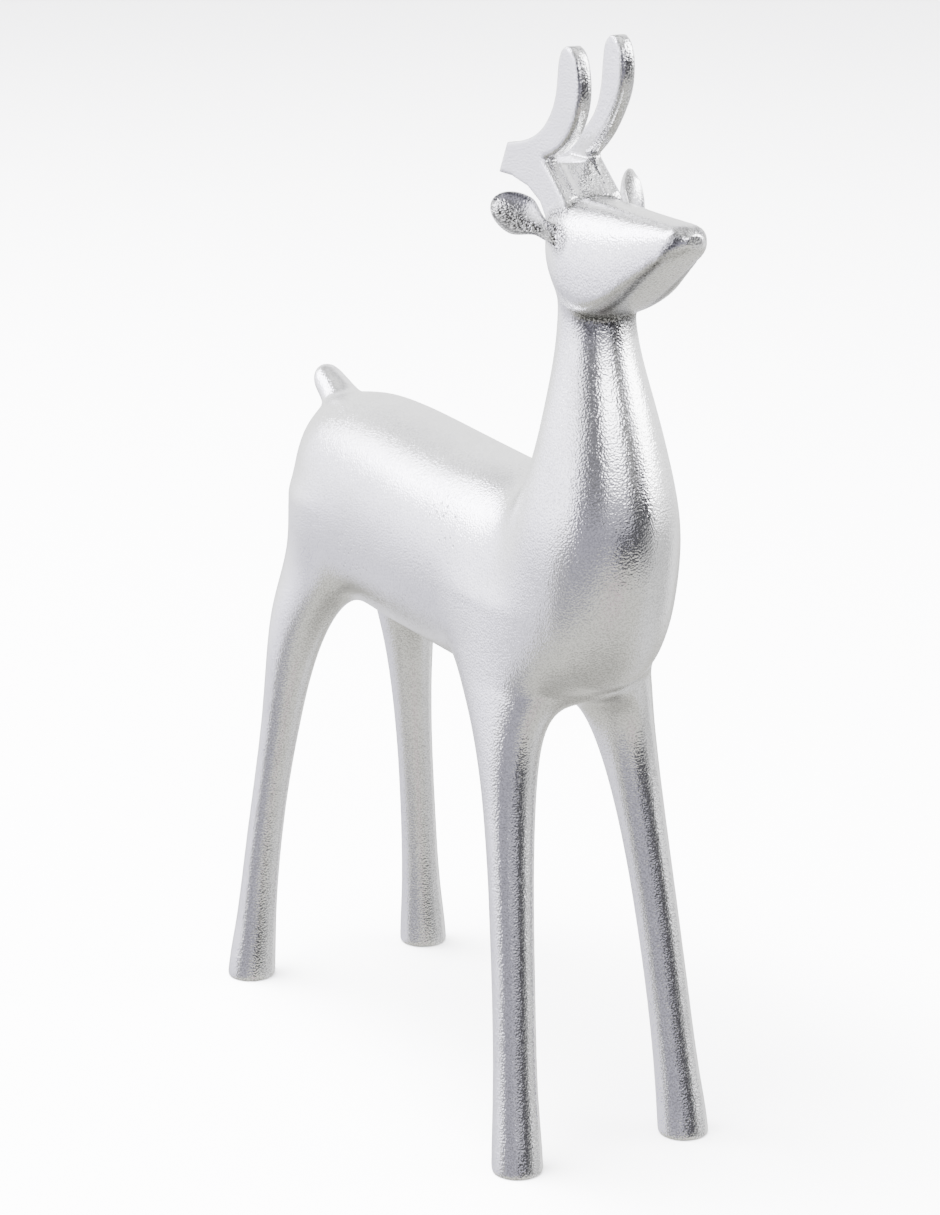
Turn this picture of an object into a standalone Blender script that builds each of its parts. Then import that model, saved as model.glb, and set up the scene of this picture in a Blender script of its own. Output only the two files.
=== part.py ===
"""A slim standing deer, cast in one piece of satin aluminium.

The deer faces -Y, its right side is -X, and it stands on four flat feet at Z = 0.
Its form is written in shares of STANCE, the distance from the front feet to the hind feet:
y runs back from the front feet and z runs up from the ground.
Each limb is a run of oval rings, and the limbs flow into each other as poured metal does.
"""

import math

import bmesh
import bpy
import numpy as np

# Driving sizes, in metres.
STANCE = 0.150
ANTLER_THICKNESS = 0.0042
ANTLER_SPAN = 0.0164
ANTLER_EDGE = 0.0012
EAR_THICKNESS = 0.0020
SKIN_CELL = 0.0013

# How finely the form is made.
RING_SIDES = 28
STEPS_BETWEEN = 12
SKIN_TRIANGLES = 8000
EAR_SIDES = 14
EAR_STEPS = 9

# Trunk, as upright rings: y, z of the middle, half width, half height.
TRUNK = (
    (1.010, 0.985, 0.020, 0.030),
    (0.995, 0.985, 0.060, 0.078),
    (0.957, 0.982, 0.095, 0.126),
    (0.885, 0.974, 0.124, 0.165),
    (0.760, 0.963, 0.138, 0.188),
    (0.580, 0.955, 0.143, 0.190),
    (0.400, 0.950, 0.141, 0.188),
    (0.240, 0.945, 0.132, 0.182),
    (0.100, 0.940, 0.103, 0.150),
    (0.000, 0.940, 0.060, 0.100),
)

# Neck and breast, as level rings: z, y of the middle, half width, half depth.
NECK = (
    (0.806, 0.088, 0.050, 0.050),
    (0.836, 0.078, 0.085, 0.095),
    (0.900, 0.063, 0.112, 0.135),
    (0.990, 0.047, 0.125, 0.153),
    (1.090, 0.035, 0.125, 0.153),
    (1.190, 0.026, 0.107, 0.127),
    (1.290, 0.030, 0.085, 0.097),
    (1.390, 0.041, 0.065, 0.072),
    (1.470, 0.048, 0.057, 0.062),
    (1.530, 0.055, 0.050, 0.055),
)

# Head, as upright rings from the poll to the nose: y, z of the top, of the widest place and of the underside,
# half width. Each ring is widest low down, at the jaw.
HEAD = (
    (0.126, 1.575, 1.551, 1.522, 0.033),
    (0.109, 1.600, 1.545, 1.489, 0.057),
    (0.064, 1.615, 1.522, 1.457, 0.073),
    (0.000, 1.619, 1.490, 1.436, 0.077),
    (-0.070, 1.618, 1.488, 1.464, 0.068),
    (-0.140, 1.617, 1.527, 1.510, 0.054),
    (-0.200, 1.617, 1.564, 1.550, 0.041),
    (-0.230, 1.613, 1.587, 1.570, 0.031),
    (-0.245, 1.603, 1.591, 1.583, 0.015),
)

# Legs, as level rings: z, x outwards, y, half width, half depth. They start below the ground.
FRONT_LEG = (
    (-0.040, 0.164, -0.003, 0.0435, 0.0435),
    (0.020, 0.162, 0.003, 0.0432, 0.0432),
    (0.100, 0.158, 0.015, 0.0395, 0.0395),
    (0.250, 0.149, 0.038, 0.0365, 0.0365),
    (0.400, 0.139, 0.064, 0.0372, 0.0375),
    (0.550, 0.127, 0.094, 0.0410, 0.0420),
    (0.650, 0.117, 0.118, 0.0465, 0.0540),
    (0.730, 0.106, 0.142, 0.0530, 0.0790),
    (0.830, 0.084, 0.173, 0.0610, 0.1230),
    (0.930, 0.058, 0.180, 0.0600, 0.1250),
)
HIND_LEG = (
    (-0.040, 0.187, 1.004, 0.0450, 0.0450),
    (0.020, 0.184, 1.000, 0.0445, 0.0445),
    (0.100, 0.178, 0.994, 0.0392, 0.0392),
    (0.250, 0.166, 0.982, 0.0342, 0.0342),
    (0.400, 0.151, 0.966, 0.0338, 0.0342),
    (0.530, 0.136, 0.950, 0.0375, 0.0400),
    (0.640, 0.122, 0.936, 0.0450, 0.0540),
    (0.730, 0.105, 0.917, 0.0530, 0.0780),
    (0.830, 0.080, 0.880, 0.0600, 0.1040),
    (0.950, 0.055, 0.858, 0.0650, 0.1050),
)

# Tail, as upright rings from inside the rump to its tip: y, z, radius.
TAIL = (
    (0.905, 1.080, 0.034),
    (0.955, 1.107, 0.035),
    (1.000, 1.129, 0.031),
    (1.030, 1.141, 0.023),
    (1.044, 1.144, 0.010),
)

# How square each section is (2 is an ellipse), and how widely the limbs flow into each other.
TRUNK_SQUARE = 2.2
HEAD_SQUARE = 2.6
LEG_FLOW = 0.028
HEAD_FLOW = 0.012

# Antlers from the side, as (y, z): up the front of the trunk, round the tine, and round the cut-off prong.
# The left tine stands a little taller than the right one, with a straighter front.
ANTLER_FRONT = ((0.036, 1.585), (0.060, 1.621))
RIGHT_TINE = (
    (0.124, 1.672),
    (0.085, 1.687),
    (0.050, 1.712),
    (0.024, 1.748),
    (0.014, 1.786),
    (0.018, 1.822),
    (0.031, 1.849),
    (0.050, 1.858),
    (0.070, 1.849),
    (0.080, 1.826),
    (0.086, 1.786),
    (0.104, 1.747),
    (0.140, 1.714),
    (0.190, 1.694),
    (0.243, 1.684),
)
LEFT_TINE = (
    (0.124, 1.672),
    (0.103, 1.687),
    (0.075, 1.712),
    (0.046, 1.748),
    (0.025, 1.786),
    (0.020, 1.826),
    (0.029, 1.857),
    (0.048, 1.871),
    (0.070, 1.862),
    (0.080, 1.836),
    (0.086, 1.790),
    (0.104, 1.747),
    (0.140, 1.714),
    (0.190, 1.694),
    (0.243, 1.684),
)
ANTLER_PRONG = ((0.271, 1.630), (0.225, 1.630), (0.175, 1.621), (0.135, 1.602), (0.110, 1.570))

# The bar that joins the antlers, from its lower front corner: (y, z) round its side view.
BAR = (*ANTLER_FRONT, (0.115, 1.665), (0.175, 1.665), (0.175, 1.621), (0.135, 1.602), (0.110, 1.570))

# Ears, x outwards: where both have their root, then each one's tip and the way its open side faces.
EAR_ROOT = (0.062, 0.040, 1.555)
RIGHT_EAR = ((0.130, 0.153, 1.610), (0.45, -0.80, 0.30))
LEFT_EAR = ((0.136, 0.157, 1.632), (0.45, -0.80, 0.30))

# An ear is a spoon: shares of its length where the stalk ends and where it is widest, its greatest half width,
# and shares of that for the stalk's half width and for how deep the bowl is.
EAR_STALK_END = 0.30
EAR_WIDEST = 0.62
EAR_HALF_WIDTH = 0.034
EAR_STALK = 0.45
EAR_CUP = 0.42


def clear_scene():
    for thing in list(bpy.data.objects):
        bpy.data.objects.remove(thing, do_unlink=True)


def smooth_through(stations, steps):
    """Rows along the natural cubic spline through the stations, spaced by their distance from each other."""
    rows = np.array(stations, float)
    gap = np.linalg.norm(np.diff(rows, axis=0), axis=1)
    count = len(rows)
    system = np.eye(count)
    wanted = np.zeros_like(rows)
    for at in range(1, count - 1):
        system[at, at - 1 : at + 2] = (gap[at - 1], 2 * (gap[at - 1] + gap[at]), gap[at])
        wanted[at] = 6 * ((rows[at + 1] - rows[at]) / gap[at] - (rows[at] - rows[at - 1]) / gap[at - 1])
    bend = np.linalg.solve(system, wanted)
    far = np.arange(steps)[:, None] / steps
    near = 1 - far
    stretches = []
    for at in range(count - 1):
        straight = near * rows[at] + far * rows[at + 1]
        curved = (near**3 - near) * bend[at] + (far**3 - far) * bend[at + 1]
        stretches.append(straight + curved * gap[at] ** 2 / 6)
    return np.vstack([*stretches, rows[-1:]])


class Limb:
    """Oval rings across one axis: their middles, half sizes and squareness as functions of the place along it."""

    def __init__(self, axis, along, x, other, wide, deep, below=None, square=2.0):
        order = np.argsort(along)
        self.axis = axis
        self.along = along[order]
        self.rings = np.stack([x + 0 * along, other, wide, deep, deep if below is None else below])[:, order]
        self.square = square

    def distance(self, points):
        """About how far each point is outside the limb: its share of the ring it lies in, scaled to a length."""
        along = points[:, self.axis]
        nearest = np.clip(along, self.along[0], self.along[-1])
        x, other, wide, deep, below = (np.interp(nearest, self.along, values) for values in self.rings)
        rise = points[:, 3 - self.axis] - other
        deep = np.where(rise > 0, deep, below)
        across = np.abs(points[:, 0] - x) / wide + 1e-6
        upward = np.abs(rise) / deep + 1e-6
        share = (across**self.square + upward**self.square) ** (1 / self.square)
        power = self.square - 1
        slope = np.hypot((across / share) ** power / wide, (upward / share) ** power / deep)
        outside = (share - 1) / slope
        past_end = np.abs(along - nearest)
        return np.where(past_end > 0, np.hypot(np.maximum(outside, 0), past_end), outside)

    def loops(self):
        """The rings as points, one array for every other step."""
        turn = np.linspace(0, 2 * math.pi, RING_SIDES, endpoint=False)
        made = []
        for at in range(0, len(self.along), 2):
            x, other, wide, deep, below = self.rings[:, at]
            points = np.empty((RING_SIDES, 3))
            points[:, self.axis] = self.along[at]
            points[:, 0] = x + wide * np.cos(turn)
            points[:, 3 - self.axis] = other + np.where(turn < math.pi, deep, below) * np.sin(turn)
            made.append(points)
        return made


def make_limbs():
    y, z, wide, high = smooth_through(TRUNK, STEPS_BETWEEN).T
    trunk = Limb(1, y, 0, z, wide, high, square=TRUNK_SQUARE)
    z, y, wide, deep = smooth_through(NECK, STEPS_BETWEEN).T
    neck = Limb(2, z, 0, y, wide, deep)
    y, top, jaw, under, wide = smooth_through(HEAD, STEPS_BETWEEN).T
    head = Limb(1, y, 0, jaw, wide, top - jaw, jaw - under, HEAD_SQUARE)
    y, z, radius = smooth_through(TAIL, STEPS_BETWEEN).T
    tail = Limb(1, y, 0, z, radius, radius)
    legs = []
    for stations in (FRONT_LEG, HIND_LEG):
        z, x, y, wide, deep = smooth_through(stations, STEPS_BETWEEN).T
        legs += [Limb(2, z, side * x, y, wide, deep) for side in (-1, 1)]
    return [trunk, neck, *legs], [head, tail]


def flow_together(distances, reach):
    """The least of several distances, rounded off where two are nearly equal."""
    together = np.stack(distances)
    least = together.min(axis=0)
    return least - reach * np.log(np.exp((least - together) / reach).sum(axis=0))


def form(points, limbs):
    """Below zero inside the deer, above zero outside."""
    trunk_and_legs, head_and_tail = limbs
    body = flow_together([limb.distance(points) for limb in trunk_and_legs], LEG_FLOW)
    return flow_together([body, *(limb.distance(points) for limb in head_and_tail)], HEAD_FLOW)


def draw_to_form(points, limbs, rounds):
    """Moves points onto the skin, each round by the height above it divided by the slope."""
    nudge = 0.0005
    for _ in range(rounds):
        height = form(points, limbs)
        slope = np.empty_like(points)
        for axis in range(3):
            beside = points.copy()
            beside[:, axis] += nudge
            slope[:, axis] = (form(beside, limbs) - height) / nudge
        move = slope * (height / np.maximum((slope**2).sum(axis=1), 0.05))[:, None]
        length = np.linalg.norm(move, axis=1)[:, None]
        points = points - move * np.minimum(1, 0.02 / np.maximum(length, 1e-9))
    return points


def skin_rings(bm, loops, scale=STANCE):
    """A closed tube through rings of points, with a cap at each end."""
    made = [[bm.verts.new(point * scale) for point in points] for points in loops]
    for low, high in zip(made, made[1:]):
        for at in range(len(low)):
            after = (at + 1) % len(low)
            bm.faces.new((low[at], low[after], high[after], high[at]))
    bm.faces.new(made[0])
    bm.faces.new(made[-1])


def new_object(name, bm):
    bmesh.ops.recalc_face_normals(bm, faces=bm.faces)
    mesh = bpy.data.meshes.new(name)
    bm.to_mesh(mesh)
    bm.free()
    thing = bpy.data.objects.new(name, mesh)
    bpy.context.collection.objects.link(thing)
    return thing


def settle(thing):
    """Gives the object the mesh that its modifiers make."""
    graph = bpy.context.evaluated_depsgraph_get()
    settled = bpy.data.meshes.new_from_object(thing.evaluated_get(graph))
    thing.modifiers.clear()
    thing.data = settled


def unite(thing, other):
    """Joins another solid to this one."""
    boolean = thing.modifiers.new("join", "BOOLEAN")
    boolean.operation = "UNION"
    boolean.object = other
    boolean.solver = "EXACT"
    settle(thing)
    bpy.data.objects.remove(other, do_unlink=True)


def points_of(mesh):
    points = np.empty(len(mesh.vertices) * 3)
    mesh.vertices.foreach_get("co", points)
    return points.reshape(-1, 3)


def move_points(mesh, points):
    mesh.vertices.foreach_set("co", points.ravel())
    mesh.update()


def make_body():
    """Trunk, neck, head, legs and tail as one skin, with the legs running on below the ground."""
    limbs = make_limbs()
    bm = bmesh.new()
    for limb in (*limbs[0], *limbs[1]):
        skin_rings(bm, limb.loops())
    body = new_object("deer", bm)
    one_skin = body.modifiers.new("one skin", "REMESH")
    one_skin.mode = "VOXEL"
    one_skin.voxel_size = SKIN_CELL
    settle(body)
    for rounds in (4, 3, 3):
        move_points(body.data, draw_to_form(points_of(body.data) / STANCE, limbs, rounds) * STANCE)
        even = body.modifiers.new("even", "SMOOTH")
        even.factor = 0.5
        even.iterations = 3
        settle(body)
    move_points(body.data, draw_to_form(points_of(body.data) / STANCE, limbs, 2) * STANCE)
    body.data.calc_loop_triangles()
    fewer = body.modifiers.new("fewer", "DECIMATE")
    fewer.ratio = SKIN_TRIANGLES / len(body.data.loop_triangles)
    settle(body)
    return body


def flatten_feet(thing):
    """Cuts the legs off level at the ground."""
    bm = bmesh.new()
    bm.from_mesh(thing.data)
    cut = bmesh.ops.bisect_plane(
        bm,
        geom=[*bm.verts, *bm.edges, *bm.faces],
        plane_co=(0, 0, 0),
        plane_no=(0, 0, 1),
        clear_inner=True,
    )
    rims = [edge for edge in cut["geom_cut"] if isinstance(edge, bmesh.types.BMEdge)]
    bmesh.ops.holes_fill(bm, edges=rims)
    bm.to_mesh(thing.data)
    bm.free()


def plate(name, outline, width):
    """A plate of the outline, given as (y, z), as wide as width and centred on X = 0."""
    bm = bmesh.new()
    face = bm.faces.new([bm.verts.new((-width / 2, y * STANCE, z * STANCE)) for y, z in outline])
    grown = bmesh.ops.extrude_face_region(bm, geom=[face])
    moved = [part for part in grown["geom"] if isinstance(part, bmesh.types.BMVert)]
    bmesh.ops.translate(bm, verts=moved, vec=(width, 0, 0))
    return new_object(name, bm)


def make_antler(side, tine):
    """An upright plate on one side of the head, with its front edges rubbed round."""
    antler = plate("antler", [*ANTLER_FRONT, *smooth_through(tine, 2), *ANTLER_PRONG], ANTLER_THICKNESS)
    bm = bmesh.new()
    bm.from_mesh(antler.data)
    front = []
    for edge in bm.edges:
        flat = any(abs(face.normal.x) > 0.5 for face in edge.link_faces)
        if flat and any(face.normal.y < -0.05 for face in edge.link_faces):
            front.append(edge)
    bmesh.ops.bevel(bm, geom=front, offset=ANTLER_EDGE, segments=2, profile=0.5, affect="EDGES")
    bm.to_mesh(antler.data)
    bm.free()
    move_points(antler.data, points_of(antler.data) + (side * (ANTLER_SPAN - ANTLER_THICKNESS) / 2, 0, 0))
    return antler


def make_antlers():
    """Two plates and the bar that joins them, whose ends lie inside the plates."""
    antlers = make_antler(-1, RIGHT_TINE)
    unite(antlers, plate("bar", BAR, ANTLER_SPAN - ANTLER_THICKNESS))
    unite(antlers, make_antler(1, LEFT_TINE))
    return antlers


def ear_width(share):
    """Half the ear's width at a share of its length: a stalk, a smooth rise to the widest place, a round tip."""
    if share > EAR_WIDEST:
        return EAR_HALF_WIDTH * math.sqrt(1 - ((share - EAR_WIDEST) / (1 - EAR_WIDEST)) ** 2)
    rise = max(0, (share - EAR_STALK_END) / (EAR_WIDEST - EAR_STALK_END))
    return EAR_HALF_WIDTH * (EAR_STALK + (1 - EAR_STALK) * rise**2 * (3 - 2 * rise))


def make_ear(side, tip, facing):
    """A spoon whose rings sink in the middle, away from the way that its open side faces."""
    mirror = np.array((side, 1, 1))
    root = np.array(EAR_ROOT) * mirror * STANCE
    along = np.array(tip) * mirror * STANCE - root
    facing = np.array(facing) * mirror
    facing -= along * (facing @ along) / (along @ along)
    facing /= np.linalg.norm(facing)
    across = np.cross(facing, along) / np.linalg.norm(along)
    turn = np.linspace(0, 2 * math.pi, EAR_SIDES, endpoint=False)
    loops = []
    for share in np.sin(np.linspace(-0.5, 0.48, EAR_STEPS) * math.pi) / 2 + 0.5:
        width = ear_width(share) * STANCE
        thick = EAR_THICKNESS / 2 * min(1, 2 * width / (EAR_HALF_WIDTH * STANCE))
        bend = thick * np.sin(turn) - EAR_CUP * width * np.sin(turn) ** 2
        loops.append(root + along * share + np.outer(width * np.cos(turn), across) + np.outer(bend, facing))
    bm = bmesh.new()
    skin_rings(bm, loops, 1)
    return new_object("ear", bm)


def satin_aluminium():
    metal = bpy.data.materials.new("satin aluminium")
    metal.use_nodes = True
    shader = metal.node_tree.nodes["Principled BSDF"]
    shader.inputs["Base Color"].default_value = (0.83, 0.83, 0.84, 1)
    shader.inputs["Metallic"].default_value = 1.0
    shader.inputs["Roughness"].default_value = 0.35
    return metal


def centre_on_ground(thing):
    """Puts the middle of the deer's box over the origin, with the feet at Z = 0."""
    points = points_of(thing.data)
    middle = (points.min(axis=0) + points.max(axis=0)) / 2
    move_points(thing.data, points - (middle[0], middle[1], 0))


def put_in_order(thing):
    """Gives points and faces one fixed order, which a Boolean leaves open."""
    points = points_of(thing.data)
    order = np.lexsort(points.T)
    place = np.argsort(order)
    faces = []
    for polygon in thing.data.polygons:
        corners = [int(place[at]) for at in polygon.vertices]
        first = corners.index(min(corners))
        faces.append(corners[first:] + corners[:first])
    ordered = bpy.data.meshes.new(thing.name)
    ordered.from_pydata(points[order], [], sorted(faces))
    thing.data = ordered


def main():
    clear_scene()
    deer = make_body()
    flatten_feet(deer)
    unite(deer, make_antlers())
    unite(deer, make_ear(-1, *RIGHT_EAR))
    unite(deer, make_ear(1, *LEFT_EAR))
    centre_on_ground(deer)
    put_in_order(deer)
    deer.data.materials.append(satin_aluminium())
    deer.data.shade_smooth()
    deer.data.set_sharp_from_angle(angle=math.radians(40))


main()
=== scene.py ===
# %% [markdown]
# # A cast deer in satin metal
#
# The real object is a slim standing deer, poured as one piece of bright metal and rubbed to a satin
# finish. There is nothing to assemble, so this lesson is about three things: one flowing skin, a surface
# that keeps the small faults of a casting, and a studio that gives bare metal something to reflect.
#
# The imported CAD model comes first. It fixes the size and the pose, and everything here is fitted to it.

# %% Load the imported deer
import math

import bmesh
import bpy
import numpy as np
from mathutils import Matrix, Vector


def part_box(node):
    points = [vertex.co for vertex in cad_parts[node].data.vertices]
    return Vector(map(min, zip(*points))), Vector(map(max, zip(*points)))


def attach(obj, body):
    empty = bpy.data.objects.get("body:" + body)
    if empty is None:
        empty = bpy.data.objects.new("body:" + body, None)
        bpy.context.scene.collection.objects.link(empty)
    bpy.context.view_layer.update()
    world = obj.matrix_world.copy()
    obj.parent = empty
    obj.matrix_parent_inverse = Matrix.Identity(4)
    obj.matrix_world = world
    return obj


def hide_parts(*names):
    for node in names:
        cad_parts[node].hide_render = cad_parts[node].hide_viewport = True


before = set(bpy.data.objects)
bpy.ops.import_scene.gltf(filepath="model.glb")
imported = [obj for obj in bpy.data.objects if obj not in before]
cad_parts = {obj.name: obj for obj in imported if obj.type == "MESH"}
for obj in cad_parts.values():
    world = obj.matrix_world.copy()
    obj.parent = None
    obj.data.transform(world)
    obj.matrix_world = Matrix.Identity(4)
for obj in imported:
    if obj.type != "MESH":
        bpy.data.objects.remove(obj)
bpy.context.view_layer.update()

cad_low, cad_high = (np.array(corner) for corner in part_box("deer"))
print("CAD box in mm:", ((cad_high - cad_low) * 1000).round(1))

# %% [markdown]
# ## The camera
#
# The photograph looks a little down on the deer's right shoulder through a long lens. Its place was
# worked out from the four feet, which stand on one plane at known distances. A long lens from further
# away keeps the legs nearly parallel, which a short lens close by would not.

# %% The camera
CAMERA_PLACE = (-0.41774, -0.76085, 0.38012)
CAMERA_TILT = 73.82
CAMERA_TURN = -28.453
LENS = 103.70

camera = bpy.data.objects.new("camera", bpy.data.cameras.new("camera"))
bpy.context.collection.objects.link(camera)
camera.location = CAMERA_PLACE
camera.rotation_euler = (math.radians(CAMERA_TILT), 0, math.radians(CAMERA_TURN))
camera.data.lens = LENS
camera.data.clip_start = 0.01
bpy.context.scene.camera = camera
print("camera", round(math.dist(CAMERA_PLACE, (0, 0, 0.14)), 3), "m from the deer")

# %% [markdown]
# ## Helpers for node trees
#
# Every finish and light here is a small tree of nodes. A helper that makes a node, sets its values and
# joins its inputs in one line keeps the recipes readable.


# %% Node helpers
def add_node(tree, kind, inputs=None, **settings):
    """Makes a node. An input given as a socket is joined, and one given as a value is set."""
    made = tree.nodes.new(kind)
    for name, value in settings.items():
        setattr(made, name, value)
    for name, value in (inputs or {}).items():
        if isinstance(value, bpy.types.NodeSocket):
            tree.links.new(value, made.inputs[name])
        else:
            made.inputs[name].default_value = value
    return made


def math_node(tree, operation, *values):
    """One sum of arithmetic on numbers or sockets."""
    return add_node(tree, "ShaderNodeMath", dict(enumerate(values)), operation=operation).outputs[0]


def ease(tree, value, low, high, to_low=0.0, to_high=1.0):
    """Rises smoothly from to_low, where value is low, to to_high, where it is high."""
    inputs = {"Value": value, "From Min": low, "From Max": high, "To Min": to_low, "To Max": to_high}
    made = add_node(tree, "ShaderNodeMapRange", inputs, interpolation_type="SMOOTHSTEP")
    return made.outputs[0]


def mix_colours(tree, share, first, second):
    """First colour where share is 0, second colour where it is 1."""
    made = add_node(tree, "ShaderNodeMix", data_type="RGBA")
    for at, value in ((0, share), (6, first), (7, second)):
        if isinstance(value, bpy.types.NodeSocket):
            tree.links.new(value, made.inputs[at])
        else:
            made.inputs[at].default_value = value
    return made.outputs[2]


print("node helpers ready")

# %% [markdown]
# ## The studio
#
# Bare metal shows what stands round it, so the studio is most of its colour. In the photograph the flanks
# mirror white paper, the back mirrors a paler grey wall, and the dark streaks down the neck and legs
# mirror the unlit room behind the photographer. Lamps alone would leave the rest of the metal black, and
# modelled walls would need a room. A sky that is painted by direction is quicker to balance: a plain
# base, and soft patches on it.


# %% The sky by direction
def tint(level, violet=0.0):
    """A light of that strength. Violet above zero adds that share of blue, and below zero takes it away."""
    return (level, level * (1 - abs(violet) * 0.15), level * (1 + violet), 1.0)


FLOOR_BELOW = tint(0.62, -0.1)
FLOOR_BEYOND = tint(0.96, -0.09)
WALLS = tint(2.15, 0.05)
CEILING = tint(1.1)
ZENITH = tint(2.2)
# Each band: height at which it starts to show, height from which it is full, and its light.
SKY_BANDS = (
    (-85, -50, FLOOR_BEYOND),
    (-12, 2, WALLS),
    (34, 48, CEILING),
    (56, 72, ZENITH),
)
# Each patch: turn from the front towards the deer's left, half width, lower and upper edge, edge
# softness, light.
SKY_PATCHES = (
    (180, 42, -32, 2, 8, tint(1.55, 0.05)),
    (-150, 38, -34, -13, 6, tint(1.45, 0.12)),
    (-145, 40, -13, -2, 5, tint(2.7, 0.15)),
    (-76, 30, -34, -10, 7, tint(0.58, 0.1)),
    (60, 46, -30, -4, 6, tint(0.96)),
    (160, 44, -12, 36, 6, tint(2.5)),
    (-127, 41, -4, 15, 5, tint(3.9, 0.1)),
    (-142, 17, 14, 50, 4, tint(12.5, 0.08)),
    (-42, 46, -22, 13, 5, tint(0.5, 0.16)),
    (-15, 22, -2, 15, 3, tint(0.68, 0.12)),
    (-60, 18, 6, 36, 5, tint(0.28, 0.08)),
    (4, 24, -22, -4, 4, tint(0.12, 0.08)),
    (25, 20, -8, 13, 3, tint(0.12, 0.08)),
    (14, 12, 10, 38, 4, tint(0.42)),
    (-20, 19, 23, 44, 2, tint(8.5, 0.04)),
    (37, 8, -24, -4, 4, tint(0.45)),
    (-18, 15, -41, -35, 3, (0.95, 0.72, 0.80, 1.0)),
    (78, 28, -2, 8, 4, tint(3.0)),
    (66, 22, 9, 52, 3, tint(12.5)),
    (53, 12, 18, 52, 3, tint(12.5)),
    (104, 24, -5, 14, 5, tint(2.4)),
    (108, 14, -28, -8, 5, tint(1.7)),
    (78, 34, -50, -32, 6, tint(1.15)),
)

sky = bpy.data.worlds.new("studio sky")
bpy.context.scene.world = sky
sky.use_nodes = True
tree = sky.node_tree
tree.nodes.clear()
towards = add_node(tree, "ShaderNodeTexCoord").outputs["Generated"]
split = add_node(tree, "ShaderNodeSeparateXYZ", {0: towards})
flat = add_node(tree, "ShaderNodeCombineXYZ", {"X": split.outputs["X"], "Y": split.outputs["Y"]}).outputs[0]
level_way = add_node(tree, "ShaderNodeVectorMath", {0: flat}, operation="NORMALIZE").outputs[0]
height = split.outputs["Z"]


def sine(degrees):
    return math.sin(math.radians(degrees))


light = FLOOR_BELOW
for starts, full, colour in SKY_BANDS:
    light = mix_colours(tree, ease(tree, height, sine(starts), sine(full)), light, colour)
for turn, half_width, low_edge, high_edge, soft, colour in SKY_PATCHES:
    middle = (sine(turn), -sine(90 - turn), 0)
    beside = add_node(tree, "ShaderNodeVectorMath", {0: level_way, 1: middle}, operation="DOT_PRODUCT")
    across = ease(tree, beside.outputs["Value"], sine(90 - half_width - soft), sine(90 - half_width + soft))
    above = ease(tree, height, sine(low_edge - soft), sine(low_edge + soft))
    below = ease(tree, height, sine(high_edge - soft), sine(high_edge + soft), 1.0, 0.0)
    share = math_node(tree, "MULTIPLY", across, math_node(tree, "MULTIPLY", above, below))
    light = mix_colours(tree, share, light, colour)
background = add_node(tree, "ShaderNodeBackground", {"Color": light, "Strength": 1.0})
add_node(tree, "ShaderNodeOutputWorld", {"Surface": background.outputs[0]})
print("sky patches:", len(SKY_PATCHES))

# %% [markdown]
# ## The floor and the lamp
#
# The deer stands on plain pale paper. One large lamp overhead gives the soft shadow round the feet. The
# metal mirrors the painted sky instead of the paper and the lamp, so both are hidden from reflections. A
# pale dome far away closes the view where the paper ends. Only the camera sees it, so it neither lights
# nor shades anything.


# %% Floor, backdrop and lamp
def plain_material(name, colour, glow):
    """A matt paint that also gives off that much light."""
    made = bpy.data.materials.new(name)
    made.use_nodes = True
    matt = made.node_tree.nodes["Principled BSDF"]
    matt.inputs["Base Color"].default_value = colour
    matt.inputs["Roughness"].default_value = 0.9
    matt.inputs["Specular IOR Level"].default_value = 0.0
    matt.inputs["Emission Strength"].default_value = glow
    return made


def tube(points):
    """Faces of a closed tube through a grid of points: quads along it, and one flat face at each end."""
    rows, sides = points.shape[:2]
    at = np.arange(rows * sides).reshape(rows, sides)
    after = np.roll(at, -1, axis=1)
    quads = np.stack([at[:-1], after[:-1], after[1:], at[1:]], axis=-1).reshape(-1, 4)
    return points.reshape(-1, 3), [*quads.tolist(), at[0, ::-1].tolist(), at[-1].tolist()]


def link_mesh(name, points, faces):
    mesh = bpy.data.meshes.new(name)
    mesh.from_pydata(points, [], faces)
    made = bpy.data.objects.new(name, mesh)
    bpy.context.collection.objects.link(made)
    return made


FLOOR_REACH = 12.0
PAPER = (0.93, 0.93, 0.94, 1.0)
corners = [(x * FLOOR_REACH, y * FLOOR_REACH, 0) for x, y in ((-1, -1), (1, -1), (1, 1), (-1, 1))]
floor = link_mesh("floor", corners, [(0, 1, 2, 3)])
floor.data.materials.append(plain_material("pale paper", PAPER, 0.0))
floor.visible_glossy = False

DOME_RADIUS = 11.5
DOME_LIGHT = 3.3
rise = np.radians(np.linspace(-4, 89, 24))[:, None]
turn = np.linspace(0, 2 * math.pi, 48, endpoint=False)[None, :]
ways = [np.cos(rise) * np.cos(turn), np.cos(rise) * np.sin(turn), np.sin(rise) + 0 * turn]
dome = np.stack(ways, axis=-1) * DOME_RADIUS
backdrop = link_mesh("backdrop", *tube(dome))
backdrop.data.materials.append(plain_material("pale backdrop", (0.0, 0.0, 0.0, 1.0), DOME_LIGHT))
for rays in ("diffuse", "glossy", "transmission", "volume_scatter", "shadow"):
    setattr(backdrop, "visible_" + rays, False)

LAMP_PLACE = (-0.5, 0.3, 1.9)
LAMP_TURN = (-9, -15, 0)
LAMP_SIZE = 1.8
LAMP_WATTS = 560
lamp = bpy.data.objects.new("overhead lamp", bpy.data.lights.new("overhead lamp", "AREA"))
lamp.data.shape = "DISK"
lamp.data.size = LAMP_SIZE
lamp.data.energy = LAMP_WATTS
lamp.location = LAMP_PLACE
lamp.rotation_euler = [math.radians(angle) for angle in LAMP_TURN]
lamp.visible_glossy = False
bpy.context.collection.objects.link(lamp)
print("floor, backdrop and lamp in place")

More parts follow.
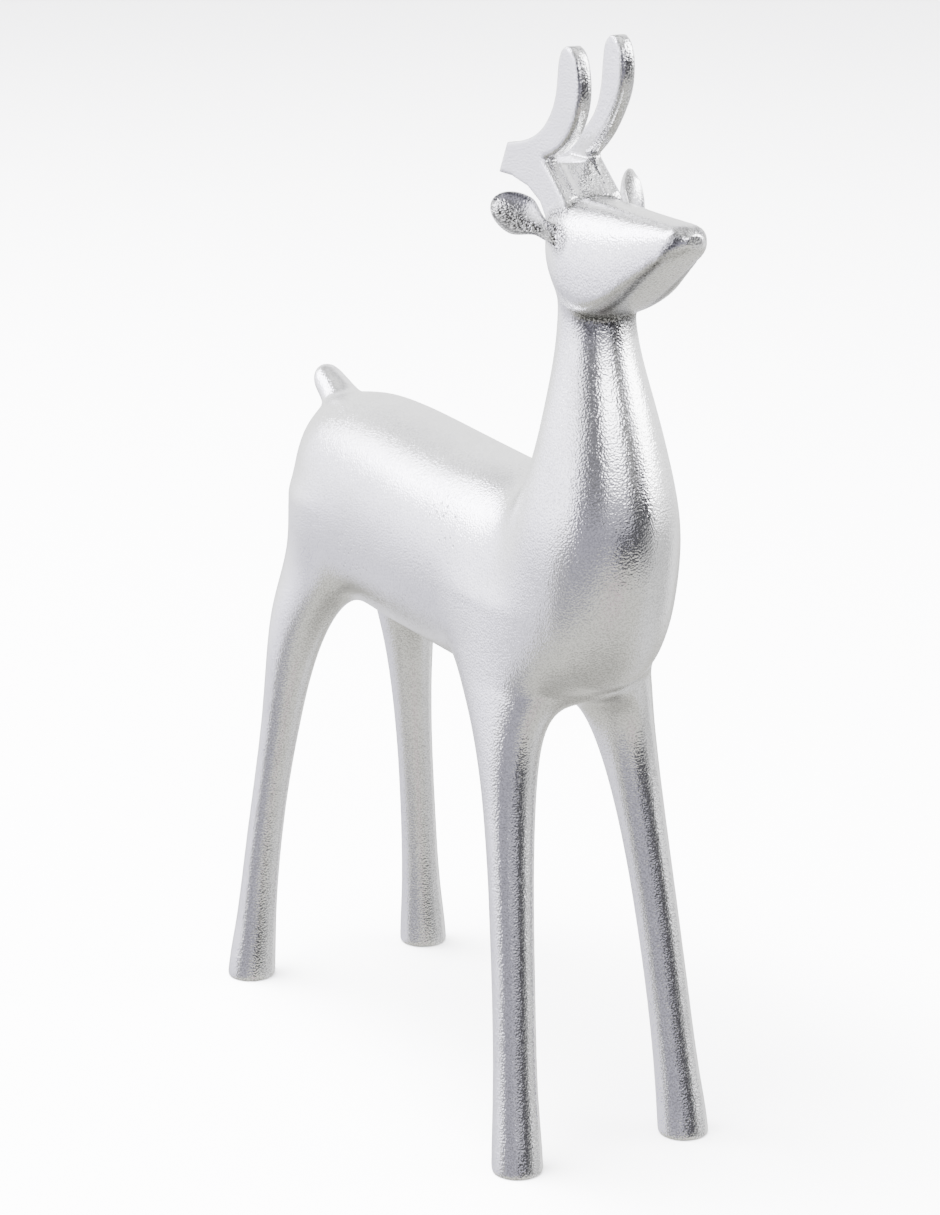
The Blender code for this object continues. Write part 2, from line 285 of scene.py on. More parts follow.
# %% [markdown]
# ## The form of the deer
#
# A poured figure has no hard joins: trunk, neck, head, legs and tail run into each other. Modelling each
# limb and cutting them together would leave creases. Sculpting would not give sizes. So each limb is a
# run of oval rings, and a formula says how far any point is outside all of them together, with a
# rounded-off minimum where two limbs are nearly as close. Where that formula is zero is the skin. Sizes
# are shares of the distance between front and hind feet, y back from the front feet and z up, as in the
# CAD.

# %% Stations along trunk, neck, head, legs and tail
STANCE = 0.150
TRUNK = (
    (1.010, 0.985, 0.020, 0.030),
    (0.995, 0.985, 0.060, 0.078),
    (0.957, 0.982, 0.095, 0.126),
    (0.885, 0.974, 0.124, 0.165),
    (0.760, 0.963, 0.138, 0.188),
    (0.580, 0.955, 0.143, 0.190),
    (0.400, 0.950, 0.141, 0.188),
    (0.240, 0.945, 0.132, 0.182),
    (0.100, 0.940, 0.103, 0.150),
    (0.000, 0.940, 0.060, 0.100),
)
NECK = (
    (0.806, 0.088, 0.050, 0.050),
    (0.836, 0.078, 0.085, 0.095),
    (0.900, 0.063, 0.112, 0.135),
    (0.990, 0.047, 0.125, 0.153),
    (1.090, 0.035, 0.125, 0.153),
    (1.190, 0.026, 0.107, 0.127),
    (1.290, 0.030, 0.085, 0.097),
    (1.390, 0.041, 0.065, 0.072),
    (1.470, 0.048, 0.057, 0.062),
    (1.530, 0.055, 0.050, 0.055),
)
HEAD = (
    (0.126, 1.575, 1.551, 1.522, 0.033),
    (0.109, 1.600, 1.545, 1.489, 0.057),
    (0.064, 1.615, 1.522, 1.457, 0.073),
    (0.000, 1.619, 1.490, 1.436, 0.077),
    (-0.070, 1.618, 1.488, 1.464, 0.068),
    (-0.140, 1.617, 1.527, 1.510, 0.054),
    (-0.200, 1.617, 1.564, 1.550, 0.041),
    (-0.230, 1.613, 1.587, 1.570, 0.031),
    (-0.245, 1.603, 1.591, 1.583, 0.015),
)
FRONT_LEG = (
    (-0.040, 0.164, -0.003, 0.0435, 0.0435),
    (0.020, 0.162, 0.003, 0.0432, 0.0432),
    (0.100, 0.158, 0.015, 0.0395, 0.0395),
    (0.250, 0.149, 0.038, 0.0365, 0.0365),
    (0.400, 0.139, 0.064, 0.0372, 0.0375),
    (0.550, 0.127, 0.094, 0.0410, 0.0420),
    (0.650, 0.117, 0.118, 0.0465, 0.0540),
    (0.730, 0.106, 0.142, 0.0530, 0.0790),
    (0.830, 0.084, 0.173, 0.0610, 0.1230),
    (0.930, 0.058, 0.180, 0.0600, 0.1250),
)
HIND_LEG = (
    (-0.040, 0.187, 1.004, 0.0450, 0.0450),
    (0.020, 0.184, 1.000, 0.0445, 0.0445),
    (0.100, 0.178, 0.994, 0.0392, 0.0392),
    (0.250, 0.166, 0.982, 0.0342, 0.0342),
    (0.400, 0.151, 0.966, 0.0338, 0.0342),
    (0.530, 0.136, 0.950, 0.0375, 0.0400),
    (0.640, 0.122, 0.936, 0.0450, 0.0540),
    (0.730, 0.105, 0.917, 0.0530, 0.0780),
    (0.830, 0.080, 0.880, 0.0600, 0.1040),
    (0.950, 0.055, 0.858, 0.0650, 0.1050),
)
TAIL = (
    (0.905, 1.080, 0.034),
    (0.955, 1.107, 0.035),
    (1.000, 1.129, 0.031),
    (1.030, 1.141, 0.023),
    (1.044, 1.144, 0.010),
)
TRUNK_SQUARE = 2.2
HEAD_SQUARE = 2.6
LEG_FLOW = 0.028
HEAD_FLOW = 0.012
THROAT_FLOW = 0.005
FOOT_FLOW = 0.0026
MOUTH = (
    (0.037, -0.196, 1.556),
    (0.040, -0.155, 1.525),
    (0.040, -0.115, 1.4965),
    (0.039, -0.075, 1.469),
    (0.041, -0.045, 1.452),
)
MOUTH_DEPTH = 0.0016
MOUTH_REACH = 0.0060
print("stations:", sum(map(len, (TRUNK, NECK, HEAD, FRONT_LEG, HIND_LEG, TAIL))))

# %% [markdown]
# ## From stations to one formula
#
# Straight lines between stations would show on polished metal as bands, so a cubic spline runs through
# them and gives many rings. A limb can then say how far a point is outside it: the point's share of the
# ring it lies in, less one, over how steeply that share rises. The limbs' distances are joined by a sum
# of powers of e, which rounds the corner between two limbs off and leaves each alone further away.


# %% Rings and the formula of the skin
STEPS_BETWEEN = 14
RING_SIDES = 36
NAPE_FROM = -0.01
NAPE_TO = 0.04


def ramp(values, low, high):
    """Rises straight from 0, where the value is low, to 1, where it is high."""
    return np.clip((values - low) / (high - low), 0, 1)


def bell(distance, reach):
    """Falls from 1 at distance zero, as e to the power of minus the square of distance over reach."""
    return np.exp(-((distance / reach) ** 2))


def smooth_through(stations, steps):
    """Natural cubic spline: each stretch is the straight line between two stations plus a cubic bend that
    makes slope and curvature run on from one stretch to the next."""
    rows = np.array(stations, float)
    gap = np.linalg.norm(np.diff(rows, axis=0), axis=1)
    inner = np.arange(1, len(rows) - 1)
    system = np.eye(len(rows))
    system[inner, inner - 1] = gap[:-1]
    system[inner, inner] = 2 * (gap[:-1] + gap[1:])
    system[inner, inner + 1] = gap[1:]
    slope = np.diff(rows, axis=0) / gap[:, None]
    wanted = np.zeros_like(rows)
    wanted[1:-1] = 6 * np.diff(slope, axis=0)
    bend = np.linalg.solve(system, wanted)
    far = (np.arange(steps) / steps)[None, :, None]
    near = 1 - far
    straight = near * rows[:-1, None] + far * rows[1:, None]
    curved = (near**3 - near) * bend[:-1, None] + (far**3 - far) * bend[1:, None]
    curve = straight + curved * (gap**2 / 6)[:, None, None]
    return np.vstack([curve.reshape(-1, rows.shape[1]), rows[-1:]])


class Limb:
    """Oval rings across one axis (1 is y, 2 is z), as functions of the place along it."""

    def __init__(self, axis, along, x, other, wide, deep, below=None, square=2.0):
        order = np.argsort(along)
        self.axis = axis
        self.along = along[order]
        rings = [x + 0 * along, other, wide, deep, deep if below is None else below]
        self.rings = np.stack(rings)[:, order]
        self.square = square

    def distance(self, points):
        """The point's share of the ring it lies in, less one, over how steeply that share rises there."""
        along = points[:, self.axis]
        nearest = np.clip(along, self.along[0], self.along[-1])
        x, other, wide, deep, below = (np.interp(nearest, self.along, values) for values in self.rings)
        rise = points[:, 3 - self.axis] - other
        deep = np.where(rise > 0, deep, below)
        across = np.abs(points[:, 0] - x) / wide + 1e-6
        upward = np.abs(rise) / deep + 1e-6
        share = (across**self.square + upward**self.square) ** (1 / self.square)
        power = self.square - 1
        steepness = np.hypot((across / share) ** power / wide, (upward / share) ** power / deep)
        outside = (share - 1) / steepness
        past_end = np.abs(along - nearest)
        return np.where(past_end > 0, np.hypot(np.maximum(outside, 0), past_end), outside)

    def surface(self):
        """Middle plus half width times the cosine, and half height times the sine, of the turn."""
        turn = np.linspace(0, 2 * math.pi, RING_SIDES, endpoint=False)[None, :]
        x, other, wide, deep, below = self.rings[:, ::2, None]
        points = np.empty((x.shape[0], RING_SIDES, 3))
        points[:, :, self.axis] = self.along[::2, None]
        points[:, :, 0] = x + wide * np.cos(turn)
        points[:, :, 3 - self.axis] = other + np.where(turn < math.pi, deep, below) * np.sin(turn)
        return points


y, z, wide, high = smooth_through(TRUNK, STEPS_BETWEEN).T
trunk = Limb(1, y, 0, z, wide, high, square=TRUNK_SQUARE)
z, y, wide, deep = smooth_through(NECK, STEPS_BETWEEN).T
neck = Limb(2, z, 0, y, wide, deep)
y, top, jaw, under, wide = smooth_through(HEAD, STEPS_BETWEEN).T
head = Limb(1, y, 0, jaw, wide, top - jaw, jaw - under, HEAD_SQUARE)
y, z, radius = smooth_through(TAIL, STEPS_BETWEEN).T
tail = Limb(1, y, 0, z, radius, radius)
legs = []
for stations in (FRONT_LEG, HIND_LEG):
    z, x, y, wide, deep = smooth_through(stations, STEPS_BETWEEN).T
    legs += [Limb(2, z, side * x, y, wide, deep) for side in (-1, 1)]


def flow_together(distances, reach):
    """The least distance, less reach times the logarithm of how many others are as near."""
    together = np.stack(distances)
    least = together.min(axis=0)
    return least - reach * np.log(np.exp((least - together) / reach).sum(axis=0))


def line_distance(points, line):
    """Distance to the nearest of a line's straight stretches."""
    start = np.array(line[:-1])
    stretch = np.array(line[1:]) - start
    away = points[:, None] - start
    share = np.clip((away * stretch).sum(axis=2) / (stretch**2).sum(axis=1), 0, 1)
    return np.linalg.norm(away - share[:, :, None] * stretch, axis=2).min(axis=1)


def folded(points):
    """Both halves laid on the deer's left, by dropping the sign of x."""
    return np.column_stack([np.abs(points[:, 0]), points[:, 1:]])


def form(points):
    """Below zero inside the deer, above zero outside. The head meets the throat more closely than the
    nape, the mouth is a faint groove, and the ground cuts the feet level with a soft rim."""
    body = flow_together([limb.distance(points) for limb in (trunk, neck, *legs)], LEG_FLOW)
    nape = ramp(points[:, 1], NAPE_FROM, NAPE_TO)
    reach = THROAT_FLOW + (HEAD_FLOW - THROAT_FLOW) * nape
    whole = flow_together([body, head.distance(points), tail.distance(points)], reach)
    whole += MOUTH_DEPTH * bell(line_distance(folded(points), MOUTH), MOUTH_REACH)
    return -flow_together([-whole, points[:, 2]], FOOT_FLOW)


print("limbs:", 4 + len(legs))

# %% [markdown]
# ## One skin
#
# The limbs start as separate closed tubes. A voxel remesh melts them into one even skin, which is a good
# start but has small steps. Newton's rule then walks every point onto the place where the formula is
# zero: it moves against the slope by height over slope. A light smoothing between the walks keeps the
# faces even.


# %% Skin the limbs and draw the skin to the formula
SKIN_CELL = 0.00099
NUDGE = 0.0005
LONGEST_STEP = 0.02
LEAST_SLOPE = 0.05


def face_outwards(made):
    bm = bmesh.new()
    bm.from_mesh(made.data)
    bmesh.ops.recalc_face_normals(bm, faces=bm.faces)
    bm.to_mesh(made.data)
    bm.free()


def settle(made):
    """Gives the object the mesh that its modifiers make."""
    graph = bpy.context.evaluated_depsgraph_get()
    settled = bpy.data.meshes.new_from_object(made.evaluated_get(graph))
    made.modifiers.clear()
    made.data = settled


def points_of(mesh):
    points = np.empty(len(mesh.vertices) * 3)
    mesh.vertices.foreach_get("co", points)
    return points.reshape(-1, 3)


def normals_of(mesh):
    normals = np.empty(len(mesh.vertices) * 3)
    mesh.vertices.foreach_get("normal", normals)
    return normals.reshape(-1, 3)


def move_points(mesh, points):
    mesh.vertices.foreach_set("co", points.ravel())
    mesh.update()


def remesh(made, cell):
    skin = made.modifiers.new("one skin", "REMESH")
    skin.mode = "VOXEL"
    skin.voxel_size = cell
    settle(made)


def smooth(made, factor, times):
    even = made.modifiers.new("even", "SMOOTH")
    even.factor = factor
    even.iterations = times
    settle(made)


def draw_to(formula, points, rounds):
    """Newton's rule: each point moves against the slope of the formula by its height over the slope
    squared."""
    for _ in range(rounds):
        height_now = formula(points)
        slope = np.empty_like(points)
        for axis in range(3):
            beside = points.copy()
            beside[:, axis] += NUDGE
            slope[:, axis] = (formula(beside) - height_now) / NUDGE
        move = slope * (height_now / np.maximum((slope**2).sum(axis=1), LEAST_SLOPE))[:, None]
        length = np.linalg.norm(move, axis=1)[:, None]
        points = points - move * np.minimum(1, LONGEST_STEP / np.maximum(length, 1e-9))
    return points


all_points, all_faces = [], []
for limb in (trunk, neck, head, tail, *legs):
    points, faces = tube(limb.surface())
    start = sum(map(len, all_points))
    all_points.append(points * STANCE)
    all_faces += [[start + at for at in face] for face in faces]
deer = link_mesh("cast_deer", np.vstack(all_points), all_faces)
face_outwards(deer)
remesh(deer, SKIN_CELL)
for rounds in (4, 2, 2):
    move_points(deer.data, draw_to(form, points_of(deer.data) / STANCE, rounds) * STANCE)
    smooth(deer, 0.5, 3)
move_points(deer.data, draw_to(form, points_of(deer.data) / STANCE, 2) * STANCE)
print("skin points:", len(deer.data.vertices))

# %% [markdown]
# ## Antlers
#
# The antlers are two upright plates joined by a bar, and they are the only flat faces on the deer.
# Bevelled plates would keep machine-made edges. So the plates, too, are a formula: how far a point is
# outside an outline seen from the side, and outside the thickness, with the corner between the two
# rounded off, more in front, where they were rubbed, than behind. A fine remesh of the bare plates is
# drawn onto it as the skin was.

# %% Antlers and the bar between them
ANTLER_THICKNESS = 0.0042
ANTLER_SPAN = 0.0164
ANTLER_FRONT_EDGE = 0.0014
ANTLER_BACK_EDGE = 0.0004
ANTLER_FLOW = 0.0025
TURNS_FORWARD = (0.2, -0.2)
ANTLER_CELL = 0.00045
ANTLER_FRONT = ((0.036, 1.585), (0.060, 1.621))
RIGHT_TINE = (
    (0.124, 1.672),
    (0.085, 1.687),
    (0.050, 1.712),
    (0.024, 1.748),
    (0.014, 1.786),
    (0.018, 1.822),
    (0.031, 1.849),
    (0.050, 1.858),
    (0.070, 1.849),
    (0.080, 1.826),
    (0.086, 1.786),
    (0.104, 1.747),
    (0.140, 1.714),
    (0.190, 1.694),
    (0.243, 1.684),
)
LEFT_TINE = (
    (0.124, 1.672),
    (0.103, 1.687),
    (0.075, 1.712),
    (0.046, 1.748),
    (0.025, 1.786),
    (0.020, 1.826),
    (0.029, 1.857),
    (0.048, 1.871),
    (0.070, 1.862),
    (0.080, 1.836),
    (0.086, 1.790),
    (0.104, 1.747),
    (0.140, 1.714),
    (0.190, 1.694),
    (0.243, 1.684),
)
ANTLER_PRONG = ((0.271, 1.630), (0.225, 1.630), (0.175, 1.621), (0.135, 1.602), (0.110, 1.570))
BAR = (*ANTLER_FRONT, (0.115, 1.665), (0.175, 1.665), (0.175, 1.621), (0.135, 1.602), (0.110, 1.570))

antler_middle = (ANTLER_SPAN - ANTLER_THICKNESS) / 2
antler_half = ANTLER_THICKNESS / 2
plates = (
    ([*ANTLER_FRONT, *smooth_through(RIGHT_TINE, 4), *ANTLER_PRONG], -antler_middle, antler_half),
    (BAR, 0.0, antler_middle - antler_half + 0.0003),
    ([*ANTLER_FRONT, *smooth_through(LEFT_TINE, 4), *ANTLER_PRONG], antler_middle, antler_half),
)


def outline_distance(flat, outline):
    """How far each (y, z) is outside the outline, below zero inside, and which way along y the outline
    faces there. The nearest edge gives the length. Inside is where a level line crosses an odd number of
    edges."""
    start = np.array(outline)
    edge = np.roll(start, -1, axis=0) - start
    away = flat[:, None] - start
    share = np.clip((away * edge).sum(axis=2) / (edge**2).sum(axis=1), 0, 1)
    gap = away - share[:, :, None] * edge
    length = np.hypot(gap[:, :, 0], gap[:, :, 1])
    nearest = length.argmin(axis=1)[:, None]
    distance = np.take_along_axis(length, nearest, 1)[:, 0]
    gap_y = np.take_along_axis(gap[:, :, 0], nearest, 1)[:, 0]
    above = away[:, :, 1] >= 0
    crosses = above != np.roll(above, -1, axis=1)
    run = edge[:, 0] / np.where(edge[:, 1] == 0, 1, edge[:, 1])
    before = away[:, :, 0] < away[:, :, 1] * run
    side = np.where((crosses & before).sum(axis=1) % 2 == 1, -1, 1)
    return side * distance, side * gap_y / np.maximum(distance, 1e-9)


def plate_distance(points, outline, middle, half):
    """Length of what is left outside both the outline and the thickness, each drawn in by the rounding,
    less the rounding."""
    outside, facing = outline_distance(points[:, 1:], outline)
    forward = ramp(facing, *TURNS_FORWARD)
    rounding = (ANTLER_BACK_EDGE + (ANTLER_FRONT_EDGE - ANTLER_BACK_EDGE) * forward) / STANCE
    first = outside + rounding
    second = np.abs(points[:, 0] - middle / STANCE) - half / STANCE + rounding
    corner = np.hypot(np.maximum(first, 0), np.maximum(second, 0))
    return corner + np.minimum(np.maximum(first, second), 0) - rounding


def antler_form(points):
    return flow_together([plate_distance(points, *given) for given in plates], ANTLER_FLOW)


def plate(outline, middle, half):
    """The outline, given as (y, z), on both sides of the middle, with walls between."""
    points = np.empty((2, len(outline), 3))
    points[:, :, 1:] = np.array(outline) * STANCE
    points[:, :, 0] = np.array((middle - half, middle + half))[:, None]
    return tube(points)


all_points, all_faces = [], []
for points, faces in (plate(*given) for given in plates):
    start = sum(map(len, all_points))
    all_points.append(points)
    all_faces += [[start + at for at in face] for face in faces]
antlers = link_mesh("antlers", np.vstack(all_points), all_faces)
face_outwards(antlers)
remesh(antlers, ANTLER_CELL)
for rounds in (2, 1):
    move_points(antlers.data, draw_to(antler_form, points_of(antlers.data) / STANCE, rounds) * STANCE)
    smooth(antlers, 0.5, 3)
print("antler points:", len(antlers.data.vertices))

# %% [markdown]
# ## Ears
#
# Each ear is a leaf, hollowed on its open side. A flat leaf with thickness would miss the hollow that
# catches the light, so the leaf's rings are bent: the middle of each ring sinks behind its edges.

# %% Two cupped ears
EAR_ROOT = (0.062, 0.040, 1.555)
RIGHT_EAR = (-1, (0.130, 0.153, 1.610), (0.45, -0.80, 0.30))
LEFT_EAR = (1, (0.136, 0.157, 1.632), (0.45, -0.80, 0.30))
EAR_STALK_END = 0.30
EAR_WIDEST = 0.62
EAR_HALF_WIDTH = 0.034
EAR_STALK = 0.45
EAR_CUP = 0.42
EAR_THICKNESS = 0.0020 / STANCE
EAR_SIDES = 48
EAR_STEPS = 44


def ear_frame(side, tip, facing):
    """Where the ear starts, and its ways along, across and out of its open side, squared to each
    other."""
    mirror = np.array((side, 1, 1))
    root = np.array(EAR_ROOT) * mirror
    along = np.array(tip) * mirror - root
    facing = np.array(facing) * mirror
    facing = facing - along * (facing @ along) / (along @ along)
    facing /= np.linalg.norm(facing)
    return root, along, np.cross(facing, along) / np.linalg.norm(along), facing


def ear_width(share):
    """Half width: a stalk, then a rise by 3 s squared less 2 s cubed, then a quarter of an ellipse to the
    tip."""
    rise = np.clip((share - EAR_STALK_END) / (EAR_WIDEST - EAR_STALK_END), 0, 1)
    fall = np.clip((share - EAR_WIDEST) / (1 - EAR_WIDEST), 0, 1)
    return EAR_HALF_WIDTH * (EAR_STALK + (1 - EAR_STALK) * rise**2 * (3 - 2 * rise)) * np.sqrt(1 - fall**2)


def ear(given):
    """Ring by ring from root to tip: width times cosine of the turn across, and out of the open side half
    the thickness times sine, less the cup times the width times sine squared."""
    root, along, across, facing = ear_frame(*given)
    share = (np.sin(np.linspace(-0.5, 0.49, EAR_STEPS) * math.pi) / 2 + 0.5)[:, None]
    turn = np.linspace(0, 2 * math.pi, EAR_SIDES, endpoint=False)[None, :]
    width = ear_width(share)
    thick = EAR_THICKNESS / 2 * np.minimum(1, 2 * width / EAR_HALF_WIDTH)
    bend = (thick * np.sin(turn) - EAR_CUP * width * np.sin(turn) ** 2)[:, :, None]
    sideways = (width * np.cos(turn))[:, :, None]
    points = root + along * share[:, :, None] + across * sideways + facing * bend
    made = link_mesh("ear", *tube(points * STANCE))
    face_outwards(made)
    return made


ears = [ear(given) for given in (RIGHT_EAR, LEFT_EAR)]
print("ear points:", [len(made.data.vertices) for made in ears])

# %% [markdown]
# ## One casting
#
# Antlers and ears meet the head in real creases, so they are joined by a Boolean and not melted in. Where
# antlers and head meet, the metal ran a little into the corner: points near there are drawn onto a
# formula of both that flows together.

# %% Join antlers and ears to the head
CREASE_FLOW = 0.0035
CREASE_REACH = 0.012
CROWN_FROM = 1.40


def unite(made, other):
    join = made.modifiers.new("join", "BOOLEAN")
    join.operation = "UNION"
    join.object = other
    join.solver = "EXACT"
    settle(made)
    bpy.data.objects.remove(other, do_unlink=True)


def head_and_antlers(points):
    return flow_together([form(points), antler_form(points)], CREASE_FLOW)


for other in (antlers, *ears):
    unite(deer, other)
points = points_of(deer.data) / STANCE
high_up = np.flatnonzero(points[:, 2] > CROWN_FROM)
crown = points[high_up]
crease_gap = np.maximum(form(crown), antler_form(crown))
near = crease_gap < CREASE_REACH
crown[near] = draw_to(head_and_antlers, crown[near], 2)
points[high_up] = crown
move_points(deer.data, points * STANCE)
print("points drawn to the creases:", int(near.sum()))

# %% [markdown]
# ## Where shade and dark reflections are painted on
#
# At the corners at antlers and ears, in the hollows of the ears and in the throat the grain is coarser, and
# dark specks in it are painted shade. A smoother painted shade follows the line under the cheek and the
# foot of each ear's rim, and painted dark reflections lie on the sides of the nose and the antlers' front
# edges.
# A painted picture would need the mesh laid out flat. So each mark is a formula of distance, strongest on
# its line and falling away from it, and each point of the mesh keeps the strongest of them for the finish
# to read.

# %% Painted shade and painted reflections
# A reach is a distance over which a mark fades. A strength of painted shade or painted reflection is how
# dark a mark is on its line, from 0 to 1.
CREASE_PAINTED_SHADE = 0.3
THROAT_REACH = 0.045
THROAT_TOP = 1.50
THROAT_RUN = (0.03, 0.0)
THROAT_PAINTED_SHADOW = 0.6
HOLLOW_MIDDLE = 0.34
HOLLOW_HALF_WIDTH = 0.60
HOLLOW_PEAK = 1.15
HOLLOW_PAINTED_SHADE = 0.4
LEAF_STARTS = (0.2, 0.325)
LEAF_ENDS = (0.97, 0.87)
OPEN_SIDE = (0.2, 0.45)
EAR_REACH = 0.20
RIM_FOOT = 0.82
RIM_REACH = 0.09
RIM_PAINTED_SHADE = 0.85
MOUTH_MARK = 0.0070
CHEEK_MARK = 0.034
CHEEK_RUN = (-0.20, -0.08)
CHEEK_PAINTED_SHADE = 0.24
NOSE_MARK = ((0.016, -0.2365, 1.6095), (0.031, -0.2294, 1.5918), (0.0365, -0.199, 1.5585))
NOSE_WIDE = 0.0125
NOSE_NARROW = 0.0040
NOSE_PAINTED_REFLECTION = 0.97
NOSE_PALER = 0.45
NOSE_MIDDLE = 0.45
FRONT_REACH = 0.004
FRONT_GRAIN = 0.25
EDGE_REACH = 0.0045
EDGE_PAINTED_REFLECTION = 0.7


# Masks for painted shade in each ear's hollow, at the foot of its rim and at its root.
def ear_marks(points, normals, given):
    """How deep in the hollow, falling with the square of the way across from its lower half. How near the
    foot of the rim, a bell across it. Both are zero behind the ear. Last, how near the corner at the
    ear's root."""
    root, along, across, facing = ear_frame(*given)
    share = (points - root) @ along / (along @ along)
    sideways = (points - root) @ across / ear_width(np.clip(share, 0, 0.98))
    in_front = ramp(share, *LEAF_STARTS) * ramp(share, *LEAF_ENDS) * ramp(normals @ facing, *OPEN_SIDE)
    in_front *= np.linalg.norm(points - root, axis=1) < EAR_REACH
    hollow = np.clip(HOLLOW_PEAK - ((sideways - HOLLOW_MIDDLE) / HOLLOW_HALF_WIDTH) ** 2, 0, 1)
    foot = bell(np.abs(sideways) - RIM_FOOT, RIM_REACH)
    stalk = line_distance(points, [root, root + along * 0.4]) - EAR_STALK * EAR_HALF_WIDTH
    corner = ramp(np.maximum(form(points), stalk), 1.2 * CREASE_REACH, 0.2 * CREASE_REACH)
    return hollow * in_front, foot * in_front, corner


def throat_mark(points):
    """Painted shadow on the neck alone, falling straight with the distance below the head, and only in
    front.
    """
    below = head.distance(points)
    mark = np.where(below > 0.001, ramp(below, THROAT_REACH, 0), 0)
    return mark * ramp(points[:, 1], *THROAT_RUN) * (points[:, 2] < THROAT_TOP)


def face_marks(points):
    """Painted shade: a bell across the mouth, wider towards the throat, with a broad faint one round it.
    Painted dark reflection: the nose's mark narrows downwards. It falls with the fourth power, so it is
    nearly even, and it is paler in its middle."""
    both_sides = folded(points)
    mouth = line_distance(both_sides, MOUTH)
    behind = ramp(points[:, 1], *CHEEK_RUN)
    lower = ramp(points[:, 2], NOSE_MARK[0][2], NOSE_MARK[-1][2])
    nose = line_distance(both_sides, NOSE_MARK) / (NOSE_WIDE + (NOSE_NARROW - NOSE_WIDE) * lower)
    streak = bell(mouth, MOUTH_MARK * (0.5 + behind))
    shade = CHEEK_PAINTED_SHADE * behind * bell(mouth, CHEEK_MARK)
    patch = NOSE_PAINTED_REFLECTION * np.exp(-(nose**4)) - NOSE_PALER * bell(nose, NOSE_MIDDLE) * (1 - lower)
    return np.maximum.reduce([streak, shade, patch])


def antler_marks(points, outline, middle, half):
    """Grain on the plate's front face above the bar, and a painted dark reflection along its front edges,
    both bells across. Beside the bar only the outer edge is free."""
    outside, facing = outline_distance(points[:, 1:], outline)
    forward = ramp(facing, *TURNS_FORWARD)
    sideways = points[:, 0] - middle / STANCE
    beside = np.abs(sideways) - half / STANCE
    above_bar = points[:, 2] > BAR[2][1]
    front = bell(outside, FRONT_REACH) * (beside < 0.001) * forward * above_bar
    edge = bell(np.maximum(np.abs(outside), np.abs(beside)), EDGE_REACH) * forward
    return front, edge * ((sideways * middle > 0) | above_bar)


# Painted shade in creases, throat, ear hollows, under the ear rims and along mouth and cheek, darker grain
# on the antlers' front faces, and painted dark reflections on the nose and the antlers' front edges.
crease = ramp(crease_gap, CREASE_REACH, 0)
throat = throat_mark(crown)
shade_and_grain = [crease, throat]
painted_shade_and_reflection = [CREASE_PAINTED_SHADE * crease**2, THROAT_PAINTED_SHADOW * throat, face_marks(crown)]
for given in (RIGHT_EAR, LEFT_EAR):
    hollow, foot, corner = ear_marks(crown, normals_of(deer.data)[high_up], given)
    shade_and_grain += [corner, hollow]
    painted_shade_and_reflection += [RIM_PAINTED_SHADE * foot, HOLLOW_PAINTED_SHADE * hollow]
for given in (plates[0], plates[2]):
    front, edge = antler_marks(crown, *given)
    shade_and_grain.append(FRONT_GRAIN * front)
    painted_shade_and_reflection.append(EDGE_PAINTED_REFLECTION * edge)
for name, marks in (("shade_and_grain", shade_and_grain), ("painted_shade_and_reflection", painted_shade_and_reflection)):
    strongest = np.zeros(len(points), np.float32)
    strongest[high_up] = np.maximum.reduce(marks)
    kept = deer.data.attributes.new(name, "FLOAT", "POINT")
    kept.data.foreach_set("value", strongest)
    print(name, "above a half on", int((strongest > 0.5).sum()), "points")

# %% [markdown]
# ## The place and size of the CAD
#
# The joined figure is centred in the CAD's box and set on the ground. It may shrink by the sliver by
# which it would stand out of the box, but it is never stretched, so the CAD and the looks share one size.

# %% Centre and fit to the CAD's box
points = points_of(deer.data)
low, high = points.min(axis=0), points.max(axis=0)
shrink = np.minimum(1, (cad_high - cad_low) / (high - low))
points = (points - (low + high) / 2) * shrink + (cad_low + cad_high) / 2
points[:, 2] += cad_low[2] - points[:, 2].min()
move_points(deer.data, points)
triangles = sum(len(face.vertices) - 2 for face in deer.data.polygons)
print("shrunk by", (1 - shrink).round(5), "triangles:", triangles)

# %% [markdown]
# ## The unevenness of a casting
#
# Up close the metal isn't true: it swells and sinks by a few hundredths of a millimetre, and the
# reflections wander with it. Twenty-odd waves of different lengths and directions, added up, give such a
# surface without any pattern. The feet keep their flat undersides.

# %% Swells in the surface
SWELL = 0.00003
SWELL_WAVES = 26
SWELL_SHORTEST = 0.006
SWELL_LONGEST = 0.020
FLAT_FOOT = 0.001
FULL_SWELL = 0.005
SHARP_CORNER = 50

chance = np.random.default_rng(7)
ways = chance.normal(size=(SWELL_WAVES, 3))
ways /= np.linalg.norm(ways, axis=1)[:, None]
lengths = np.geomspace(SWELL_SHORTEST, SWELL_LONGEST, SWELL_WAVES)
phases = chance.uniform(0, 2 * math.pi, SWELL_WAVES)
waves = np.sin(points @ (ways * (2 * math.pi / lengths)[:, None]).T + phases)
swell = (waves * (lengths / SWELL_LONGEST)).sum(axis=1)
swell = SWELL * (swell / np.abs(swell).max() - 1)
clear_of_ground = ramp(points[:, 2], FLAT_FOOT, FULL_SWELL)
points = points + normals_of(deer.data) * (swell * clear_of_ground)[:, None]
move_points(deer.data, points)
deer.data.shade_smooth()
deer.data.set_sharp_from_angle(angle=math.radians(SHARP_CORNER))
print("swell in mm:", (swell.min() * 1000).round(3), "to", (swell.max() * 1000).round(3))

# %% [markdown]
# ## Satin metal
#
# Polished metal with a fine grain: bright, a little blurred, and broken into glints where a reflection
# changes from light to dark. The grain is finer than any mesh should carry, so it is a bump made by
# noise, with a fine mottle in the colour. Small pits on the body and a few rubbed, cloudy places come
# from two more noises. All read Object coordinates, so they stay put on the metal. Painted shade, as dark
# specks and darker metal, and painted dark reflections come from the amounts kept on the mesh.

